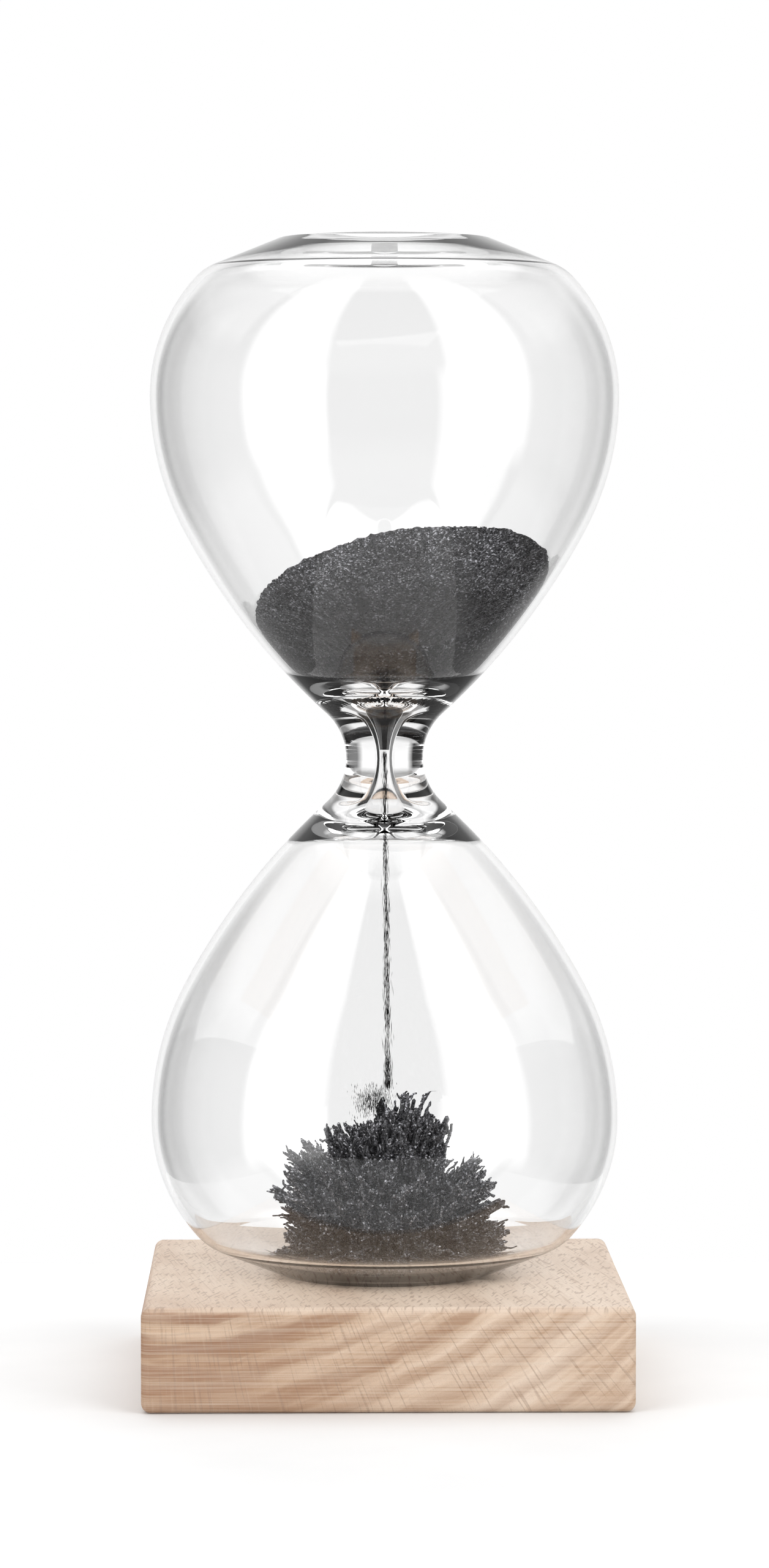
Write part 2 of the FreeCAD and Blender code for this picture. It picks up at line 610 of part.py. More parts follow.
def export(bodies):
    """Write one STEP file for each sub-part."""
    os.makedirs("parts", exist_ok=True)
    for body in bodies:
        shape = body.Shape
        if shape.isNull() or not shape.isValid() or len(shape.Solids) != 1:
            raise RuntimeError(f"{body.Label} isn't one valid solid")
        shape.exportStep(f"parts/{body.Label}.step")
        box = shape.BoundBox
        print(f"{body.Label}: volume {shape.Volume:.1f}, z {box.ZMin:.2f} to {box.ZMax:.2f}")


fill_sheet()
sub_parts = [make() for make in (make_wood_base, make_magnet, make_plug, make_glass_vessel,
                                 make_filling_seal, make_upper_filings, make_falling_stream,
                                 make_filings_skirt, make_filings_crown)]
doc.recompute()
check_document()
export(sub_parts)
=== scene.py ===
"""Looks of a magnetic hourglass: clear glass, iron filings and a beech block that hides a magnet.

Lengths are in millimetres until a mesh or a material is made. Heights are the row frame's, except where
the outline of the glass and the crater give them above the neck.
"""
import math

import bpy
import numpy as np
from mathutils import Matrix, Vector, noise


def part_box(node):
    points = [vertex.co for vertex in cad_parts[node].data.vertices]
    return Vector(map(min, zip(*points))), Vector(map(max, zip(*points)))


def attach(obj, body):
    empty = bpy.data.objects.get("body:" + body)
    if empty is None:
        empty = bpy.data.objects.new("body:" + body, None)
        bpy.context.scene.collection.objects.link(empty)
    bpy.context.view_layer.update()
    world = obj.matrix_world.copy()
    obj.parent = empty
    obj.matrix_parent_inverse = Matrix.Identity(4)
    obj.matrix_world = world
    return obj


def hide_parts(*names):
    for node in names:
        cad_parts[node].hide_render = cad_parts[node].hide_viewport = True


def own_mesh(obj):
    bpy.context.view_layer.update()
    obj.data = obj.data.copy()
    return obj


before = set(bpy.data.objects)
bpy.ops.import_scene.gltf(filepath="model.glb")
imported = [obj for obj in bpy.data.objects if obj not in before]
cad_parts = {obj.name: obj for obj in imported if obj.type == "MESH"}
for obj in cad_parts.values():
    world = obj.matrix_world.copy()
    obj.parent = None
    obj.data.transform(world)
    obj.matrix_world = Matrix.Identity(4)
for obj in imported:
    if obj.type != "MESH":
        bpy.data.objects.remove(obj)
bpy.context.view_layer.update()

MM = 0.001


def box_mm(node):
    """Lowest and highest corner of a CAD node at rest, in millimetres."""
    return tuple(np.array(corner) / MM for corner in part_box(node))


_, wood_high = box_mm("wood_base")
glass_low, glass_high = box_mm("glass_vessel")
seal_low, seal_high = box_mm("filling_seal")
heap_low, heap_high = box_mm("upper_filings")
stream_low, stream_high = box_mm("falling_stream")
skirt_low, _ = box_mm("filings_skirt")
_, crown_high = box_mm("filings_crown")
NECK = (glass_low[2] + glass_high[2]) / 2


# ---------- meshes ----------

def make_piece(name, vertices, faces, material, body, replaced=(), smooth=True):
    """A mesh piece from points in millimetres, declared to the frame."""
    mesh = bpy.data.meshes.new(name)
    mesh.from_pydata((np.asarray(vertices) * MM).tolist(), [], faces)
    mesh.materials.append(material)
    if smooth:
        mesh.shade_smooth()
    mesh.update()
    piece = bpy.data.objects.new(name, mesh)
    bpy.context.scene.collection.objects.link(piece)
    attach(piece, body)
    if replaced:
        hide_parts(*replaced)
    return piece


def grid_faces(rows, columns, first=0, flip=False):
    """Quads over a grid of points whose columns close into a ring."""
    row, column = np.meshgrid(np.arange(rows - 1), np.arange(columns), indexing="ij")
    across = (column + 1) % columns
    quads = np.stack([row * columns + column, row * columns + across,
                      (row + 1) * columns + across, (row + 1) * columns + column], axis=-1)
    quads = quads.reshape(-1, 4) + first
    return (quads[:, ::-1] if flip else quads).tolist()


def lathe(profile, steps):
    """Points and faces of a profile of (radius, height) turned about Z, closed where it meets the axis.

    The profile runs upwards along the outside, so that the faces look outwards.
    """
    profile = np.array(profile)
    start_pole, end_pole = profile[0, 0] < 1e-9, profile[-1, 0] < 1e-9
    rings = profile[int(start_pole):len(profile) - int(end_pole)]
    turn = np.linspace(0, 2 * math.pi, steps, endpoint=False)
    points = np.stack([rings[:, :1] * np.cos(turn), rings[:, :1] * np.sin(turn),
                       np.repeat(rings[:, 1:], steps, axis=1)], axis=-1).reshape(-1, 3)
    faces = grid_faces(len(rings), steps)
    vertices = points.tolist()
    if start_pole:
        vertices.append([0, 0, profile[0, 1]])
        faces += [(len(vertices) - 1, (i + 1) % steps, i) for i in range(steps)]
    if end_pole:
        vertices.append([0, 0, profile[-1, 1]])
        last = (len(rings) - 1) * steps
        faces += [(len(vertices) - 1, last + i, last + (i + 1) % steps) for i in range(steps)]
    return np.array(vertices), faces


# ---------- outline of the glass ----------

class Circle:
    """A circle in the half plane of radius from the axis and height above the neck."""

    def __init__(self, r, z, radius):
        self.centre = np.array([r, z], dtype=float)
        self.radius = radius

    def at(self, degrees):
        """The point at an angle from the outward direction, turning upwards."""
        angle = math.radians(degrees)
        return self.centre + self.radius * np.array([math.cos(angle), math.sin(angle)])

    def resized(self, radius):
        return Circle(*self.centre, radius)


def touching(a, b):
    """The point where two tangent circles meet."""
    apart = b.centre - a.centre
    distance = np.hypot(*apart)
    inside = abs(distance - abs(a.radius - b.radius)) < abs(distance - a.radius - b.radius)
    sign = -1 if inside and a.radius < b.radius else 1
    return a.centre + apart / distance * a.radius * sign


def crossing(a, reach_a, b, reach_b, side):
    """The point at given distances from a and b, on the left (1) or right (-1) of the way between them."""
    apart = b - a
    distance = np.hypot(*apart)
    along = (reach_a ** 2 - reach_b ** 2 + distance ** 2) / (2 * distance)
    off = math.sqrt(reach_a ** 2 - along ** 2)
    way = apart / distance
    return a + way * along + side * off * np.array([-way[1], way[0]])


def arc(circle, start, end):
    """Points along the shorter way round a circle from start to end, with the end left out."""
    first, last = (math.atan2(*(p - circle.centre)[::-1]) for p in (start, end))
    turn = (last - first + math.pi) % (2 * math.pi) - math.pi
    by_turn, by_length = abs(turn) / math.radians(ARC_TURN), abs(turn) * circle.radius / ARC_STEP
    count = max(2, math.ceil(by_turn), math.ceil(by_length))
    return [circle.at(math.degrees(first + turn * i / count)) for i in range(count)]


def chain(start, circles, end):
    """Points along arcs of circles that touch one another."""
    joints = [start] + [touching(a, b) for a, b in zip(circles, circles[1:])] + [end]
    points = []
    for circle, first, last in zip(circles, joints, joints[1:]):
        points += arc(circle, first, last)
    return points


ARC_TURN = 5  # degrees between two points of an arc, at most
ARC_STEP = 1.3  # and their distance
GLASS_STEPS, SEAL_STEPS = 192, 96  # faces round the glass and its seal
REST_GAP = 0.02  # keeps the foot of the glass off the face of the wood, and its hole off the seal

WALL = 1.0
END_WALL = 1.0
PUNT = 0.6  # depth of the hollow in the end faces
PUNT_RADIUS = 12.4
BULB = (glass_high[2] - glass_low[2]) / 2
BELLY = 53.2  # from the neck to the widest circle
WAIST = 5.65  # radius of the outside at the neck
WAIST_ARC, FLANK_ARC, BELLY_ARC = 8.8, 100, 42.2  # radii of its arcs, upwards from there
SHOULDER_ARC, SHOULDER_TURN = 25.6, 42  # the shoulder's arc, and the degrees it turns
KNUCKLE_ARC = 8
RIM, RIM_ARC = 15.2, 1.5  # where the centre of the end's rounded edge is, and its radius
THROAT, THROAT_ARC, THROAT_TURN = 0.75, 20, 22.7  # radius of the bore, its arc, and the degrees it turns
TRUMPET_ARC, FUNNEL_ARC, CORNER_ARC = 4.3, 9, 12  # the other arcs that only the inside has

waist = Circle(WAIST + WAIST_ARC, 0, WAIST_ARC)
belly = Circle(glass_high[0] - BELLY_ARC, BELLY, BELLY_ARC)
shoulder = Circle(glass_high[0] - SHOULDER_ARC, BELLY, SHOULDER_ARC)
knuckle = Circle(*shoulder.resized(SHOULDER_ARC - KNUCKLE_ARC).at(SHOULDER_TURN), KNUCKLE_ARC)
rim = Circle(RIM, BULB - RIM_ARC, RIM_ARC)
flank = Circle(*crossing(waist.centre, FLANK_ARC + WAIST_ARC, belly.centre, FLANK_ARC - BELLY_ARC, 1),
               FLANK_ARC)

throat = Circle(THROAT + THROAT_ARC, 0, THROAT_ARC)
trumpet = Circle(*throat.resized(THROAT_ARC - TRUMPET_ARC).at(180 - THROAT_TURN), TRUMPET_ARC)
inner_flank = flank.resized(flank.radius - WALL)
funnel = Circle(*crossing(trumpet.centre, TRUMPET_ARC + FUNNEL_ARC, flank.centre,
                          inner_flank.radius - FUNNEL_ARC, -1), FUNNEL_ARC)
inner_belly = belly.resized(belly.radius - WALL)
inner_shoulder = shoulder.resized(shoulder.radius - WALL)

# A cone joins the flattened end to the shoulder. Its surface faces this many degrees above the radius.
slope = rim.centre - knuckle.centre
SLOPE_TILT = math.degrees(math.atan2(slope[1], slope[0])
                          - math.acos((knuckle.radius - rim.radius) / np.hypot(*slope)))
inner_knuckle = knuckle.resized(knuckle.radius - WALL)
facing = Circle(0, 0, 1).at(SLOPE_TILT)
# The inside has the same cone, a wall further in, and an arc from it to the end's inner face.
corner_rise = BULB - PUNT - END_WALL - CORNER_ARC - knuckle.centre[1]
corner_run = (inner_knuckle.radius - CORNER_ARC - corner_rise * facing[1]) / facing[0]
corner = Circle(*knuckle.centre + (corner_run, corner_rise), CORNER_ARC)


def outer_half():
    """The outside from the waist to the middle of the end face."""
    points = chain(np.array([WAIST, 0]), [waist, flank, belly], belly.at(0))
    points += chain(shoulder.at(0), [shoulder, knuckle], knuckle.at(SLOPE_TILT))
    points += chain(rim.at(SLOPE_TILT), [rim], rim.at(90))
    punt_arc = (PUNT_RADIUS ** 2 + PUNT ** 2) / (2 * PUNT)
    punt = Circle(0, BULB - PUNT + punt_arc, punt_arc)
    points += chain(np.array([PUNT_RADIUS, BULB]), [punt], punt.at(-90))
    return points + [punt.at(-90)]


def inner_half():
    """The inside from the throat to the middle of the end."""
    circles = [throat, trumpet, funnel, inner_flank, inner_belly]
    points = chain(np.array([THROAT, 0]), circles, inner_belly.at(0))
    points += chain(inner_shoulder.at(0), [inner_shoulder, inner_knuckle], inner_knuckle.at(SLOPE_TILT))
    points += chain(corner.at(SLOPE_TILT), [corner], corner.at(90))
    return points + [corner.at(90), np.array([0, corner.at(90)[1]])]


# ---------- materials ----------

class Nodes:
    """Short calls that build a node tree."""

    def __init__(self, tree):
        self.tree = tree

    def add(self, kind, inputs=None, **settings):
        """A node, with its settings, and its inputs given as values or as sockets to link."""
        node = self.tree.nodes.new(f"ShaderNode{kind}")
        for name, setting in settings.items():
            setattr(node, name, setting)
        for name, given in (inputs or {}).items():
            if isinstance(given, bpy.types.NodeSocket):
                self.tree.links.new(given, node.inputs[name])
            else:
                node.inputs[name].default_value = given
        return node

    def maths(self, operation, *values, clamp=False):
        """One Math node's result."""
        return self.add("Math", dict(enumerate(values)), operation=operation, use_clamp=clamp).outputs[0]

    def product(self, first, *others):
        """Numbers or sockets multiplied."""
        for other in others:
            first = self.maths("MULTIPLY", first, other)
        return first

    def between(self, value, start, end, first=0.0, last=1.0):
        """A share that runs from first to last as a value runs from start to end."""
        return self.add("MapRange", {"Value": value, "From Min": start, "From Max": end,
                                     "To Min": first, "To Max": last}).outputs[0]

    def split(self, vector):
        """The three parts of a vector."""
        return tuple(self.add("SeparateXYZ", {"Vector": vector}).outputs)

    def stretched(self, scale, rotation=(0, 0, 0)):
        """Coordinates in the row frame, turned and then scaled to repeats per metre."""
        source = self.add("TexCoord").outputs["Object"]
        turned = self.add("Mapping", {"Vector": source, "Rotation": rotation}, vector_type="TEXTURE")
        return self.add("Mapping", {"Vector": turned.outputs[0], "Scale": scale}).outputs[0]

    def scaled(self, vector, *repeats):
        """A vector with each part multiplied by its own number."""
        return self.add("VectorMath", {0: vector, 1: repeats}, operation="MULTIPLY").outputs[0]

    def noise(self, vector, scale=1.0, detail=2.0, roughness=0.5):
        return self.add("TexNoise", {"Vector": vector, "Scale": scale, "Detail": detail,
                                     "Roughness": roughness}).outputs[0]

    def ramp(self, factor, stops):
        """A colour or grey from (position, colour) stops."""
        node = self.add("ValToRGB", {"Fac": factor})
        ramp = node.color_ramp
        for index, (position, colour) in enumerate(stops):
            stop = ramp.elements[index] if index < 2 else ramp.elements.new(position)
            stop.position = position
            stop.color = (*colour, 1) if isinstance(colour, tuple) else (colour, colour, colour, 1)
        return node.outputs[0]

    def blend(self, factor, a, b, mode="MIX"):
        """Two colours mixed."""
        node = self.add("Mix", {"Factor": factor}, data_type="RGBA", blend_type=mode)
        for socket, given in ((node.inputs[6], a), (node.inputs[7], b)):
            if isinstance(given, bpy.types.NodeSocket):
                self.tree.links.new(given, socket)
            else:
                socket.default_value = (*given, 1)
        return node.outputs[2]

    def bump(self, height, distance, strength=1.0):
        return self.add("Bump", {"Height": height, "Distance": distance, "Strength": strength}).outputs[0]


def new_material(name, **shader):
    """A material with one Principled shader, and the helper for its tree."""
    material = bpy.data.materials.new(name)
    material.use_nodes = True
    nodes = Nodes(material.node_tree)
    principled = material.node_tree.nodes["Principled BSDF"]
    for socket, given in shader.items():
        principled.inputs[socket.replace("_", " ")].default_value = given
    return material, nodes, principled


def feed(nodes, principled, **sockets):
    """Link sockets to the shader's inputs."""
    for name, source in sockets.items():
        nodes.tree.links.new(source, principled.inputs[name.replace("_", " ")])


def clear_glass():
    material, _, _ = new_material("clear_glass", Base_Color=(1, 1, 1, 1), Roughness=0.0, IOR=1.49,
                                  Transmission_Weight=1.0)
    return material


GRAIN = 0.25  # size of one filing
# Colour of the painted shade and the streaks on the crater.
SHADE_AND_STREAK_COLOUR = (0.012, 0.011, 0.011)


def iron_grains(name, light, dull, **shader):
    """Charcoal grains of iron, each with its own brightness and facet, the brightest of them painted glints,
    and patches of a duller shade.
    """
    material, nodes, principled = new_material(name, **shader)
    place = nodes.stretched((1, 1, 1))
    grain = nodes.add("TexVoronoi", {"Vector": place, "Scale": 1 / (GRAIN * MM)})
    shade = nodes.add("SeparateColor", {"Color": grain.outputs["Color"]}).outputs[0]
    patches = nodes.noise(place, scale=160, detail=3)
    # Random tone per grain; the top of the ramp turns a few grains near white as painted glints.
    tone_and_glint_levels = [(0.0, 0.012), (0.6, 0.06), (0.85, 0.15), (1.0, 0.5)]
    tint = (light, light, light * 1.07)
    colour = nodes.ramp(shade, [(at, tuple(level * part for part in tint)) for at, level in tone_and_glint_levels])
    colour = nodes.blend(nodes.ramp(patches, [(0.35, 0.0), (0.7, dull)]), colour, (0.022, 0.02, 0.02))
    feed(nodes, principled, Roughness=nodes.ramp(shade, [(0.0, 0.8), (1.0, 0.4)]),
         Normal=nodes.bump(grain.outputs["Distance"], 0.12 * MM, 0.8))
    return material, nodes, principled, place, colour


def spiky_filings():
    """Filings in the magnet's field, with painted shade towards the floor of the glass."""
    # A brighter copy of the iron grains than the heap's: painted light.
    material, nodes, principled, place, colour = iron_grains("spiky_filings", 1.7, 0.35, Metallic=0.5,
                                                             Specular_IOR_Level=0.6)
    _, _, height = nodes.split(place)
    # Painted shade: darker towards the floor of the glass, where the skirt lies.
    painted_shade = nodes.between(height, 0.030, 0.018, last=0.4)
    feed(nodes, principled, Base_Color=nodes.blend(painted_shade, colour, (0.02, 0.017, 0.015)))
    return material


def loose_filings():
    """Filings that slide down the crater: painted shade and streaks towards its middle, and painted shade on
    the right.
    """
    # A darker copy of the iron grains than the sculpture's: painted shade.
    material, nodes, principled, place, colour = iron_grains("loose_filings", 1.05, 0.5, Metallic=0.3,
                                                             Specular_IOR_Level=0.1)
    x, y, _ = nodes.split(place)
    off = nodes.maths("SQRT", nodes.maths("MULTIPLY_ADD", x, x, nodes.product(y, y)))
    # Painted shade, darkest in the middle of the crater.
    painted_shade = nodes.ramp(nodes.maths("DIVIDE", off, 30 * MM), [(0.1, 1.0), (0.5, 0.8), (0.8, 0.0)])
    # Painted shade on the right of the crater.
    right = nodes.between(x, 0.012, 0.022, last=0.5)
    streaks = nodes.noise(nodes.add("CombineXYZ", {
        "X": nodes.product(nodes.maths("ARCTAN2", x, y), 12),
        "Y": nodes.maths("DIVIDE", off, 9 * MM)}).outputs[0], detail=3)
    # The streaks, a pattern of the sliding filings, run through the painted shade.
    painted_shade = nodes.maths("ADD", nodes.maths("MAXIMUM", painted_shade, right),
                       nodes.maths("MULTIPLY_ADD", streaks, 0.6, -0.3), clamp=True)
    feed(nodes, principled, Base_Color=nodes.blend(painted_shade, colour, SHADE_AND_STREAK_COLOUR))
    return material


PITH = (-42, 90)  # middle of the tree, across and up from the middle of the block's foot
YEAR = 4.3  # width of a growth ring
PITH_TURN = 0.1  # metres that stand for a radian round the pith


def in_the_tree(nodes, x, y, z):
    """A point's distance from the pith, and a vector of that, its turn round the pith and its depth."""
    across, up = nodes.maths("SUBTRACT", x, PITH[0] * MM), nodes.maths("SUBTRACT", PITH[1] * MM, z)
    ring = nodes.maths("SQRT", nodes.maths("MULTIPLY_ADD", across, across, nodes.product(up, up)))
    turn = nodes.product(nodes.maths("ARCTAN2", across, up), PITH_TURN)
    return ring, nodes.add("CombineXYZ", {"X": ring, "Y": turn, "Z": y}).outputs[0]


def growth_rings(nodes, ring, curved, face):
    """Pale and darker bands along the growth rings on the sides of the block, and one shade on its top."""
    bands = nodes.noise(nodes.scaled(curved, 240, 22, 5), detail=4, roughness=0.6)
    year = nodes.maths("FRACT", nodes.maths("DIVIDE", ring, YEAR * MM))
    late = nodes.ramp(year, [(0.0, 0.9), (0.15, 0.15), (0.55, 0.0), (0.9, 0.75)])
    colour = nodes.ramp(bands, [
        (0.36, (0.49, 0.295, 0.175)), (0.5, (0.77, 0.58, 0.43)), (0.62, (0.91, 0.745, 0.6))])
    colour = nodes.blend(nodes.product(late, 0.7, face), colour, (0.43, 0.25, 0.15))
    top = nodes.maths("SUBTRACT", 1.0, face)
    return nodes.blend(top, colour, (0.67, 0.535, 0.425))


def stains(nodes, colour, curved, x, z, face):
    """Darker and redder wood towards the left, and along the foot there."""
    left = nodes.between(x, -0.006, -0.033)
    streaks = nodes.noise(nodes.scaled(curved, 330, 26, 8), detail=4, roughness=0.6)
    streaks = nodes.product(nodes.ramp(streaks, [(0.44, 0.0), (0.58, 1.0)]), left)
    colour = nodes.blend(nodes.product(streaks, 0.85, face), colour, (0.36, 0.17, 0.085))
    red = nodes.between(x, 0.015, -0.035)
    colour = nodes.blend(nodes.product(red, face), colour, (0.82, 0.72, 0.62), mode="MULTIPLY")
    foot = nodes.between(z, 0.011, 0.001, last=0.85)
    return nodes.blend(nodes.product(left, foot), colour, (0.46, 0.26, 0.15))


def rays_and_cuts(nodes, colour, tree, face):
    """Rays, saw marks, pores and the top's flecks over a colour. Gives the colour, relief and pores."""
    rays = nodes.noise(nodes.scaled(tree, 130, 2500, 110), detail=1)
    rays = nodes.ramp(rays, [(0.58, 0.0), (0.70, 1.0)])
    pale_rays = nodes.noise(nodes.scaled(tree, 120, 1900, 90), detail=1)
    pale_rays = nodes.ramp(pale_rays, [(0.58, 0.0), (0.72, 1.0)])
    pores = nodes.noise(nodes.scaled(tree, 4200, 42000, 130), detail=2, roughness=0.6)
    saw = nodes.noise(nodes.stretched((26, 26, 3600)), detail=3, roughness=0.75)
    chatter = nodes.noise(nodes.stretched((60, 60, 900)), detail=2)
    lean = nodes.stretched((2100, 330, 1), rotation=(0, 0, math.radians(-14)))
    flecks = nodes.ramp(nodes.noise(lean, detail=1), [(0.57, 0.0), (0.65, 0.75)])
    top = nodes.maths("SUBTRACT", 1.0, face)

    colour = nodes.blend(nodes.product(pale_rays, 0.1), colour, (0.82, 0.68, 0.55))
    colour = nodes.blend(nodes.product(rays, 0.45), colour, (0.33, 0.19, 0.12))
    colour = nodes.blend(nodes.ramp(saw, [(0.42, 0.0), (0.7, 0.5)]), colour, (0.82, 0.69, 0.56))
    colour = nodes.blend(nodes.ramp(saw, [(0.3, 0.4), (0.42, 0.0)]), colour, (0.42, 0.26, 0.17))
    colour = nodes.blend(nodes.ramp(chatter, [(0.45, 0.0), (0.7, 0.15)]), colour, (0.84, 0.70, 0.57))
    colour = nodes.blend(nodes.ramp(pores, [(0.32, 0.35), (0.44, 0.0)]), colour, (0.33, 0.21, 0.14))
    colour = nodes.blend(nodes.product(flecks, top), colour, (0.36, 0.24, 0.17))

    relief = nodes.maths("ADD", nodes.product(saw, 0.7), nodes.product(rays, -0.5))
    return colour, nodes.maths("ADD", relief, nodes.product(pores, 0.5)), pores


def beech():
    """Beech cut across the tree at the front: growth rings, rays, pores and saw marks."""
    material, nodes, principled = new_material("beech", Specular_IOR_Level=0.5)
    place = nodes.add("TexCoord").outputs["Object"]
    turned = nodes.add("Mapping", {"Vector": place, "Rotation": (0, 0, math.radians(-9))}).outputs[0]
    wander = nodes.add("TexNoise", {"Vector": place, "Scale": 60, "Detail": 3}).outputs["Color"]
    wander = nodes.add("VectorMath", {0: wander, 1: (0.5, 0.5, 0.5)}, operation="SUBTRACT").outputs[0]
    bent = nodes.add("VectorMath", {0: wander, 1: (0.0038, 0.002, 0.0038), 2: turned},
                     operation="MULTIPLY_ADD").outputs[0]
    ring, curved = in_the_tree(nodes, *nodes.split(bent))
    x, y, z = nodes.split(turned)
    _, tree = in_the_tree(nodes, x, y, z)

    _, _, height = nodes.split(place)
    top = wood_high[2] * MM
    face = nodes.between(height, top - 0.001, top - 0.0002, first=1.0, last=0.25)
    colour = growth_rings(nodes, ring, curved, face)
    colour = stains(nodes, colour, curved, x, z, face)
    colour, relief, pores = rays_and_cuts(nodes, colour, tree, face)
    feed(nodes, principled, Base_Color=colour, Roughness=nodes.ramp(pores, [(0.3, 0.55), (0.7, 0.36)]),
         Normal=nodes.bump(relief, 0.06 * MM, 0.8))
    return material


def plug_wood():
    material, nodes, principled = new_material("plug_wood", Roughness=0.6)
    grain = nodes.noise(nodes.stretched((900, 60, 8)), scale=1, detail=4)
    colour = nodes.ramp(grain, [(0.3, (0.42, 0.30, 0.2)), (0.7, (0.55, 0.41, 0.28))])
    feed(nodes, principled, Base_Color=colour, Normal=nodes.bump(grain, 0.05 * MM))
    return material


def nickel():
    """Plating of the disc magnet."""
    material, nodes, principled = new_material("nickel", Metallic=1.0)
    specks = nodes.noise(nodes.stretched((1, 1, 1)), scale=900, detail=4)
    colour = nodes.ramp(specks, [(0.3, (0.5, 0.49, 0.47)), (0.7, (0.66, 0.65, 0.62))])
    feed(nodes, principled, Base_Color=colour, Roughness=nodes.ramp(specks, [(0.3, 0.22), (0.7, 0.38)]),
         Normal=nodes.bump(specks, 0.01 * MM))
    return material


glass = clear_glass()
spiky, loose = spiky_filings(), loose_filings()
for node, looks in (("wood_base", beech()), ("magnet_plug", plug_wood()), ("base_magnet", nickel())):
    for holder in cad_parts[node].material_slots:
        holder.material = looks


# ---------- glass vessel and its seal ----------

def mirrored(points):
    """Points of an outline that ran upwards from the neck, as they run down it in the lower bulb."""
    return [np.array([r, -z]) for r, z in points]


def make_glass():
    """The blown vessel: outside from the closed end up, over the filling hole, and down the inside."""
    upper_out, upper_in = outer_half(), inner_half()
    hole = (seal_high[0] - seal_low[0]) / 2 + REST_GAP
    hole_high = BULB - PUNT
    foot = glass_low[2] + REST_GAP - NECK
    outline = [np.array([r, max(z, foot)]) for r, z in mirrored(upper_out[::-1])]
    outline += [p for p in upper_out[1:] if p[0] > hole]
    outline += [np.array([hole, hole_high]), np.array([hole, hole_high - END_WALL])]
    outline += [p for p in upper_in[::-1] if p[0] > hole or p[1] < BULB / 2]
    outline += mirrored(upper_in[1:])
    vertices, faces = lathe([p + (0, NECK) for p in outline], GLASS_STEPS)
    return make_piece("glass_bulbs", vertices, faces, glass, "glass", ["glass_vessel"])


def let_light_through(piece):
    """Light reaches what is behind clear glass as if the glass weren't there."""
    piece.visible_shadow = False
    piece.visible_diffuse = False


def make_seal():
    """The drop of glass that was melted over the filling hole."""
    radius = seal_high[0]
    edge_low, edge_high = NECK + BULB - PUNT - END_WALL, NECK + BULB - PUNT
    turns = np.linspace(0, math.pi / 2, 12)
    low = [(radius * math.sin(t), edge_low + (seal_low[2] - edge_low) * math.cos(t)) for t in turns]
    high = [(radius * math.sin(t), edge_high + (seal_high[2] - edge_high) * math.cos(t)) for t in turns[::-1]]
    vertices, faces = lathe(low + high, SEAL_STEPS)
    return make_piece("seal_drop", vertices, faces, glass, "glass", ["filling_seal"])


for blown in (make_glass(), make_seal()):
    let_light_through(blown)


# ---------- upper filings ----------

GAP = 0.13  # between filings and glass, measured level, so there is none where the wall is nearly level
CRATER_LOW = 11.6  # bottom of the crater above the neck
CRATER_SIDE = 63.6  # degrees from the axis of the crater's cone to its side
CRATER_TILT, CRATER_TURN = 12.2, 246  # how far the cone leans, and where round it leans to


def crater_slope(turn):
    """How steeply the crater, a leaning cone, rises outwards in a direction round the neck."""
    lean = math.radians(CRATER_TILT)
    upright, towards = math.cos(lean), math.sin(lean) * np.cos(turn - math.radians(CRATER_TURN))
    size = np.hypot(upright, towards)
    return np.tan(np.arcsin(math.cos(math.radians(CRATER_SIDE)) / size) - np.arctan2(towards, upright))


def rough(points, size, amount, seed):
    """A noise value for each point, its grains of a given size."""
    shift = Vector((seed * 17.3, seed * 5.1, seed * 9.7))
    return np.array([noise.noise(Vector(p) / size + shift) for p in points]) * amount


def bulb_wall():
    """The inside of the upper bulb from the throat to its widest circle."""
    wall = np.array(inner_half())
    return wall[:int(np.argmax(wall[:, 0])) + 1]


def crater_edge(wall, slope, tries, gap):
    """Heights and radii where the crater, of a given slope in each direction, meets the glass."""
    heights = np.linspace(CRATER_LOW, heap_high[2] - NECK, tries)
    room = np.interp(heights, wall[:, 1], wall[:, 0]) - gap
    inside = CRATER_LOW + np.outer(slope, room) >= heights[None, :]
    last = [np.nonzero(row)[0][-1] for row in inside]
    return heights[last], room[last]


def crater_points(turn, slope, edge, across):
    """Rings of the crater's surface, streaked and lumpy, from near its bottom to near its edge."""
    around = np.tile(turn, across - 1)
    radius = np.outer(np.linspace(0, 1, across + 1)[1:-1], edge).ravel()
    height = CRATER_LOW + radius * np.tile(slope, across - 1)
    points = np.stack([radius * np.cos(around), radius * np.sin(around), height], axis=1)
    streaks = np.stack([around * 9, radius * 0.16, 0 * radius], axis=1)
    points[:, 2] += rough(streaks, 0.22, 0.22, 2) + rough(points, 0.55, 0.32, 3) + rough(points, 2.6, 0.3, 4)
    points[:, 2] = np.maximum(points[:, 2], CRATER_LOW - 0.6)
    return points


def heap_side_points(turn, rim_height, wall, down):
    """Rings of the heap's side against the glass, from the crater's edge to the neck, with small pits."""
    low = heap_low[2] - NECK
    height = rim_height + np.outer(np.linspace(0, 1, down) ** 0.8, low - rim_height)
    radius = np.interp(height, wall[:, 1], wall[:, 0]) - GAP
    points = np.stack([radius * np.cos(turn), radius * np.sin(turn), height], axis=2).reshape(-1, 3)
    pits = np.clip(rough(points, 0.45, 1.0, 5), -0.5, 0) * 0.35
    radius = radius.ravel()
    points[:, :2] *= (1 + pits / np.maximum(radius, 1) * (radius > 3))[:, None]
    return points


